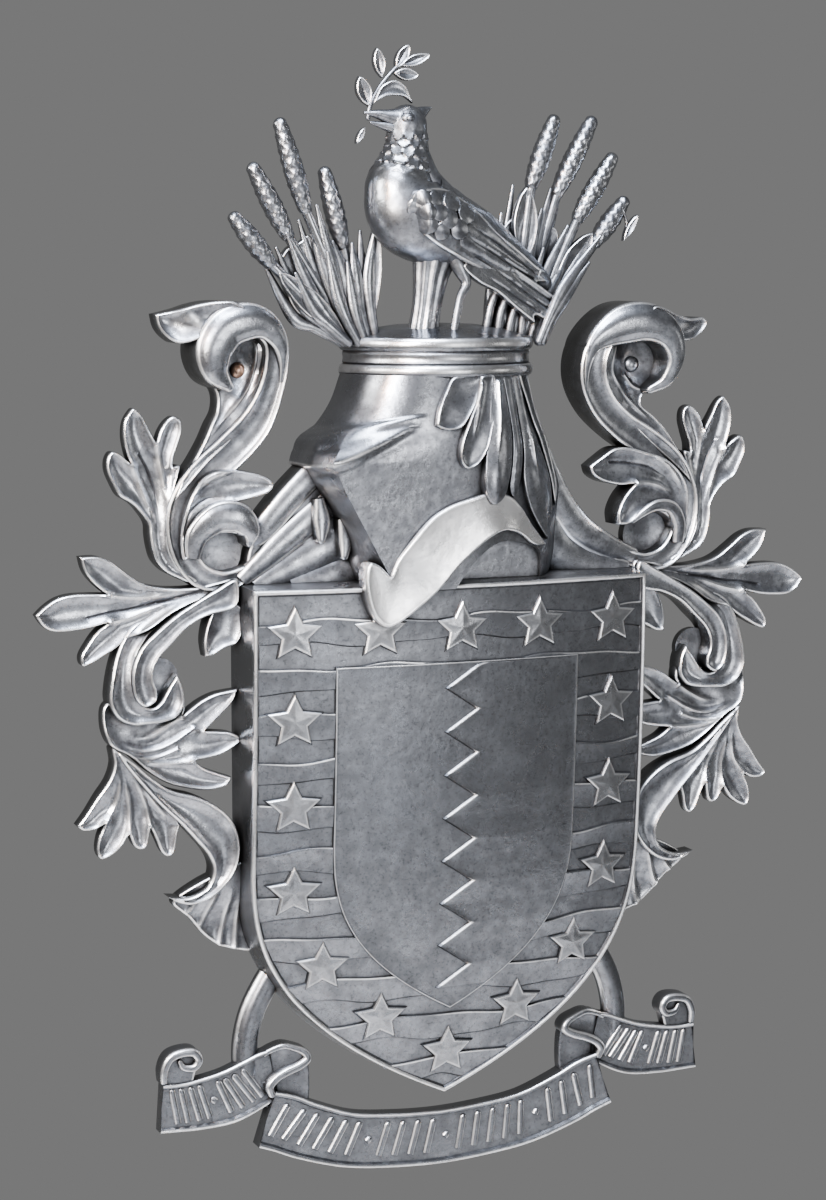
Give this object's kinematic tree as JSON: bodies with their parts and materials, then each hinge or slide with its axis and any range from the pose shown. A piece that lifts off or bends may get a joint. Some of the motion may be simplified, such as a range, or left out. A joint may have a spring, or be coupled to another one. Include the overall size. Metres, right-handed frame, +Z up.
{
  "type": "coat of arms",
  "caption": "Cast metal coat of arms for a wall: shield with a star border, helm, dove crest with reeds, leafy mantling and a scroll ribbon below.",
  "frame": {"origin": "centre of the shield's flat back, on the wall plane", "axes": "+Y into the wall, so the front faces -Y; +Z up; +X to the viewer's right"},
  "size_m": [0.8312, 0.098, 1.1094],
  "materials": {
    "cast_metal": "satin cast, dark in the hollows, burnished on the edges",
    "coppery_metal": "satin, tinted"
  },
  "bodies": {
    "root": {"shield": "cast_metal", "helm": "cast_metal", "mantling_left": "cast_metal", "mantling_right": "cast_metal", "motto_ribbon": "cast_metal", "dove": "cast_metal", "reeds_left": "cast_metal", "reeds_right": "cast_metal", "screw_left": "coppery_metal", "screw_right": "cast_metal"}
  },
  "joints": []
}
